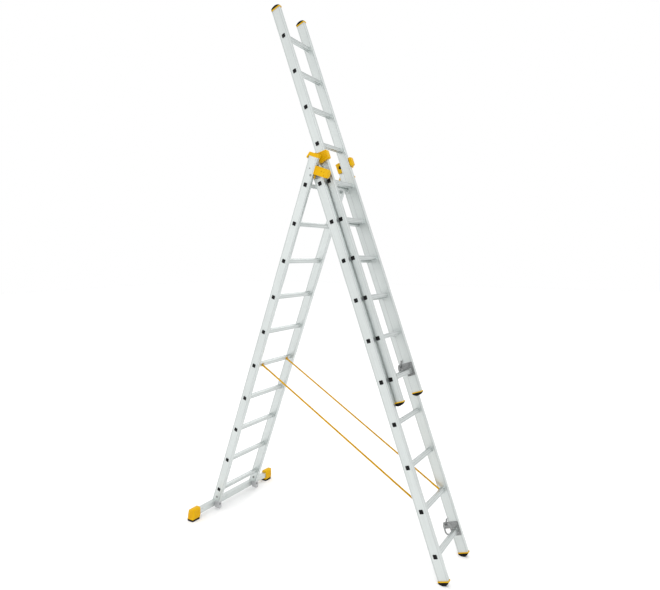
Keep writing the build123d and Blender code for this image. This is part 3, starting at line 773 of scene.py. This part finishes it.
def topGuide(side):
    shape = guideShape
    near = shape["near"]
    inner = ladder["frontHalf"] - ladder["stileThickness"]
    low, high = shape["along"]
    cheek = rounded([(shape["back"], low), (44.0, low), (shape["front"], shape["block"][0]),
                     (shape["front"], shape["block"][1]), (44.0, high), (shape["back"], high)],
                    [8.0, 4.0, 8.0, 8.0, 4.0, 8.0])
    block = rectangle(37.0, shape["front"], *shape["block"], [2.0, 8.0, 8.0, 2.0])
    lip = rectangle(shape["lipBack"], shape["front"], *shape["block"], [2.0, 8.0, 8.0, 2.0])
    cover = rectangle(-38.0, 38.0, shape["stileTop"] + 0.05, high, 0.0)
    solids = [
        (cheek, side * near, side * (inner - 0.02)),
        (block, side * (inner - 2), side * (inner + 5)),
        (lip, side * shape["lipReach"], side * (near + 2)),
        (cover, side * (near + 4), side * ladder["frontHalf"]),
    ]
    cuts = []
    level = shape["block"][0] + 7.0
    while level < shape["block"][1] - 9:
        cuts.append((rectangle(44.0, shape["front"] - 7, level, level + 4.5, 2.0), side * (inner + 3.4),
                     side * (inner + 9)))
        level += shape["ribPitch"]
    cuts.append((circleAt(shape["rivet"], 3.0, 20), side * (near - 2), side * (inner + 1)))
    piece = moulded(f"topGuideBody_{hand(side)}", solids, cuts, frontFrame, finishes["yellow"], shape["edge"])
    keep(piece, "front_section", "yellow_plastic", f"top_guide_{hand(side)}")
    bm = bmesh.new()
    addTurned(bm, dome(side * near, -side, 4.5, shape["button"]), shape["rivet"])
    button = toObject(f"topGuideButton_{hand(side)}", bm, frontFrame, finishes["black"])
    keep(button, "front_section", "black_plastic")


# caps on the rear stiles' tops
capShape = {"reach": 40.5, "thickness": 16.0, "low": 2716.0, "top": 2742.0, "stileTop": 2730.0, "edge": 1.2}


def rearCap(side):
    shape = capShape
    middle = ladder["rearHalf"] - ladder["stileThickness"] / 2
    solids = [
        (rectangle(-shape["reach"], shape["reach"], shape["low"], shape["top"], [0.0, 0.0, 5.0, 5.0]),
         side * (middle - shape["thickness"]), side * (middle + shape["thickness"])),
        ([Vector(p) for p in ((-38, 2741), (-44, 2739), (-58, 2700), (-50, 2696), (-40.5, 2718))],
         side * (middle - 11), side * (middle + 11)),
    ]
    cuts = [(rectangle(-36.5, 36.5, shape["low"] - 5, shape["stileTop"]),
             side * (middle - 12.5), side * (middle + 12.5))]
    for ahead in (-24.0, -8.0, 8.0, 24.0):
        cuts.append((rectangle(ahead - 1.2, ahead + 1.2, shape["low"] + 5, shape["top"] - 6, 1.0),
                     side * (middle + shape["thickness"] - 0.9), side * (middle + shape["thickness"] + 4)))
    piece = moulded(f"rearCapBody_{hand(side)}", solids, cuts, rearFrame, finishes["yellow"], shape["edge"])
    keep(piece, "rear_section", "yellow_plastic", f"rear_{hand(side)}_cap")


# shoes on the crossbar's ends, leaning with the rear stiles
shoeShape = {
    "barX": -966.1,
    "inner": 403.0,
    "outer": 478.0,
    "side": ((-42.0, 14.0), (20.0, 14.0), (27.0, 40.0), (29.0, 95.0), (-19.0, 95.0)),
    "sideRadii": (1.0, 1.0, 14.0, 13.0, 12.0),
    "endRadius": 13.0,
    "barEnd": 462.0,
    "barLow": 34.4,
    "barTop": 75.4,
    "barHalf": 20.0,
    "lip": 5.0,
    "ribPitch": 10.0,
    "windows": (46.0, 58.0, 70.0),
    "windowHeight": 7.0,
    "windowInset": 15.0,
    "windowFace": 26.2,  # ahead of the bar's middle
    "edge": 1.3,
}


def barShoe(side):
    shape = shoeShape
    x = shape["barX"]
    inner, outer = side * shape["inner"], side * shape["outer"]
    outline = rounded([(x + ahead, level) for ahead, level in shape["side"]], shape["sideRadii"])
    low, high = sorted((inner, outer))
    radii = [shape["endRadius"] if side < 0 else 2.0] * 2 + [2.0 if side < 0 else shape["endRadius"]] * 2
    plan = rectangle(x - 41.5, x + 28.5, low, high, radii)
    lip = rectangle(x - 43.0, x + 21.0, low - 1, high + 1, [r + 1 for r in radii])
    solids = [(outline, inner, outer), (lip, 14.05, 14.0 + shape["lip"], "along")]
    socket = rectangle(x - shape["barHalf"], x + shape["barHalf"], shape["barLow"], shape["barTop"], 2.0)
    cuts = [(socket, side * (shape["inner"] - 5), side * shape["barEnd"])]
    level = 28.0
    while level < 84:
        lean = (level - 14) * 0.28
        groove = rectangle(x - 33 + lean, x + 16 + min(lean, 8), level, level + 3.2, 1.4)
        cuts.append((groove, side * (shape["outer"] - 1.6), side * (shape["outer"] + 4)))
        level += shape["ribPitch"]
    inset = shape["windowInset"]
    for level in shape["windows"]:
        window = rectangle(low + inset, high - inset, level, level + shape["windowHeight"], 2.0)
        cuts.append((window, x + shape["windowFace"], x + 40.0, "ahead"))
    piece = moulded(f"barShoeBody_{hand(side)}", solids, cuts, rowFrame, finishes["yellow"], shape["edge"],
                    trim=(plan, 0.0, 120.0, "along"))
    keep(piece, "rear_section", "yellow_plastic", f"bar_shoe_{hand(side)}")


for side in sides.values():
    hingeBracket(side)
    topGuide(side)
    rearCap(side)
    barShoe(side)
print("mouldings made")


# rivets with domed heads
rivetShape = {"shank": 3.0, "head": 5.0, "height": 2.0, "flat": 0.6}


def addRivet(bm, spot, side, near, far, headAt, outward, height):
    shank = rivetShape["shank"]
    low, high = side * near, side * far
    addTurned(bm, [(0, low), (shank, low), (shank, high), (0, high)], spot, steps=20)
    if height > 1:
        profile = dome(side * headAt, side * outward, height, rivetShape["head"])
    else:
        base, top = side * headAt, side * (headAt + outward * height)
        profile = [(0, base), (rivetShape["head"], base), (rivetShape["head"] - 0.4, top), (0, top)]
    addTurned(bm, profile, spot, steps=24)


def rivetRow(section, groups):
    bm = bmesh.new()
    for hands, spots, near, far, headAt, outward, height in groups:
        for side in hands:
            for spot in spots:
                addRivet(bm, spot, side, near, far, headAt, outward, height)
    piece = toObject(section + "RivetHeads", bm, frames[section], finishes["steel"])
    keep(piece, section + "_section", "zinc_steel", section + "_rivets")


hookSpots = ((26.0, 48.0), (26.0, -24.0), (-12.0, 48.0))
hookSides = {"front": (1,), "upper": (-1, 1)}
both = (-1, 1)
skin = 1.7
frontInner = ladder["frontHalf"] - ladder["stileThickness"]
upperInner = ladder["upperHalf"] - ladder["stileThickness"]
rearInner = ladder["rearHalf"] - ladder["stileThickness"]
plate = ladder["plateThickness"]
domed, flat = rivetShape["height"], rivetShape["flat"]
guideNear, bracketNear = guideShape["near"], bracketShape["near"]
frontHalf, rearHalf = ladder["frontHalf"], ladder["rearHalf"]
lugSpots = ((20.0, 2572.0), (20.0, 2598.0))
bracketSpots = ((-14.0, 2600.0), (18.0, 2650.0))
lugFace = frontHalf + 3.5
rivetRow("front", [
    ((1,), hookSpots, frontInner - plate, frontInner + skin, frontInner - plate, -1, domed),
    (both, (guideShape["rivet"],), guideNear, frontInner + skin, guideNear, -1, domed),
    (both, lugSpots, frontHalf - skin, lugFace, lugFace, 1, flat),
])
rivetRow("upper", [(both, hookSpots, upperInner - plate, upperInner + skin, upperInner - plate, -1, domed)])
rivetRow("rear", [
    (both, ((-1.6, 2635.5),), bracketNear, rearHalf, rearHalf, 1, domed),
    (both, bracketSpots, bracketNear, rearInner + skin, bracketNear, -1, domed),
])


# torsion springs on the claw pivots
springShape = {"pivot": (-62.0, 42.0), "wire": 0.9, "coil": 5.6, "turns": 3.5, "span": 6.2, "leg": 20.0}


def clawSprings(section):
    shape = springShape
    clawFace = ladder[section + "Half"] - ladder["stileThickness"] - plate - 5.4
    bm = bmesh.new()
    for side in hookSides[section]:
        steps = int(shape["turns"] * 24)
        points = []
        for k in range(steps + 1):
            turned = 2 * math.pi * k / 24 - math.pi / 2
            across = side * (clawFace - 0.9 - shape["span"] * k / steps)
            points.append(Vector((shape["pivot"][0] + shape["coil"] * math.cos(turned), across,
                                  shape["pivot"][1] + shape["coil"] * math.sin(turned))))
        points.append(points[-1] + Vector((-0.6, 0, 0.0)))
        points = [points[0] + Vector((-8.0, 0, -1.5)), points[0] + Vector((-2.0, 0, 0))] + points[:-1]
        last = points[-1]
        points += [last + Vector((-3.0, 0, 0)), last + Vector((-7.0, side * 1.0, 1.0))]
        addTube(bm, points, circle(shape["wire"], 8))
        leg = [(shape["pivot"][0] + d, side * (clawFace - 4.0), shape["pivot"][1] + shape["coil"])
               for d in (0.0, shape["leg"] / 2, shape["leg"])]
        addTube(bm, leg, circle(shape["wire"], 8))
    piece = toObject(section + "SpringCoils", bm, frames[section], finishes["steel"])
    keep(piece, section + "_section", "zinc_steel", section + "_claw_springs")


clawSprings("front")
clawSprings("upper")


# bolts through the rear stiles, the saddles and the crossbar
boltShape = {
    "radius": 4.0,
    "headRadius": 7.0,
    "headHeight": 3.6,
    "washer": 8.6,
    "washerThickness": 0.9,
    "stileSpot": (0.0, -72.7),  # in the rear section, ahead and along
    "saddle": 226.71,
    "saddleLevel": 54.9,
    "saddleBack": -958.1,
    "saddleFace": -902.1,
}


def addHexHead(bm, centre, base, outward, axis):
    hexagon = [(centre[0] + x, centre[1] + y) for x, y in circle(boltShape["headRadius"], 6)]
    top = base + outward * boltShape["headHeight"]
    addSlab(bm, hexagon, base, top, axis)
    crown = boltShape["headRadius"] * 0.8
    addTurned(bm, [(0, top), (crown, top), (crown - 0.5, top + outward * 0.35), (0, top + outward * 0.35)],
              centre, axis)


def addWasher(bm, centre, base, outward, axis):
    radius, end = boltShape["washer"], base + outward * boltShape["washerThickness"]
    addTurned(bm, [(0, base), (radius, base), (radius - 0.2, end), (0, end)], centre, axis, 32)


def barBolts():
    radius = boltShape["radius"]
    bm = bmesh.new()
    for side in sides.values():
        near, far = rearInner - 3, ladder["rearHalf"] + 3
        spot = boltShape["stileSpot"]
        addTurned(bm, [(0, side * near), (radius, side * near), (radius, side * far), (0, side * far)], spot)
        for base, outward in ((side * rearInner, -side), (side * ladder["rearHalf"], side)):
            addWasher(bm, spot, base, outward, "across")
            addHexHead(bm, spot, base + outward * boltShape["washerThickness"], outward, "across")
    mesh = toObject("stileBolts", bm, rearFrame, finishes["steel"])
    keep(mesh, "rear_section", "zinc_steel")
    bm = bmesh.new()
    back, saddleFace = boltShape["saddleBack"], boltShape["saddleFace"]
    for side in sides.values():
        spot = (side * boltShape["saddle"], boltShape["saddleLevel"])
        addTurned(bm, [(0, back), (radius, back), (radius, saddleFace), (0, saddleFace)], spot, "ahead")
        addWasher(bm, spot, saddleFace, 1, "ahead")
        addHexHead(bm, spot, saddleFace + boltShape["washerThickness"], 1, "ahead")
    piece = toObject("saddleBolts", bm, rowFrame, finishes["steel"])
    keep(piece, "rear_section", "zinc_steel", "bar_bolts")


barBolts()
print("fastenings made")


# floor and light
studio = {
    "floorColour": (0.96, 0.96, 0.96, 1),
    "worldColour": (1.0, 1.0, 1.0, 1),
    "worldStrength": 1.0,
    "lights": (
        # name, place, aim, size, power
        ("key", (3.2, -4.6, 5.2), (0.0, 0.0, 1.6), 3.0, 60),
        ("fill", (-4.6, -3.0, 3.2), (0.0, 0.0, 1.4), 4.0, 30),
        ("rim", (-1.5, 4.8, 4.6), (0.0, 0.0, 1.8), 3.5, 40),
    ),
    "sun": ((2.0, -2.5, 6.0), 0.5, 0.9),  # from here, strength, width in radians
}


def makeStudio():
    bpy.ops.mesh.primitive_plane_add(size=60, location=(0, 0, -0.0005))
    floor = bpy.context.object
    floor.name = "floor"
    paint = Finish("floorPaint", Roughness=0.75, Specular_IOR_Level=0.2)
    paint.set("Base Color", studio["floorColour"])
    floor.data.materials.append(paint.material)
    world = bpy.data.worlds.new("studioWorld")
    world.use_nodes = True
    background = world.node_tree.nodes["Background"]
    background.inputs["Color"].default_value = studio["worldColour"]
    background.inputs["Strength"].default_value = studio["worldStrength"]
    scene.world = world
    for name, place, aim, size, power in studio["lights"]:
        data = bpy.data.lights.new(name, "AREA")
        data.shape, data.size, data.energy = "DISK", size, power
        lamp = bpy.data.objects.new(name, data)
        lamp.location = place
        lamp.rotation_mode = "QUATERNION"
        lamp.rotation_quaternion = (Vector(aim) - Vector(place)).to_track_quat("-Z", "Y")
        scene.collection.objects.link(lamp)
    place, strength, width = studio["sun"]
    data = bpy.data.lights.new("sun", "SUN")
    data.energy, data.angle = strength, width
    lamp = bpy.data.objects.new("sun", data)
    lamp.rotation_mode = "QUATERNION"
    lamp.rotation_quaternion = Vector(place).to_track_quat("Z", "Y")
    scene.collection.objects.link(lamp)
    scene.view_settings.view_transform = "Standard"


makeStudio()
print("studio made")
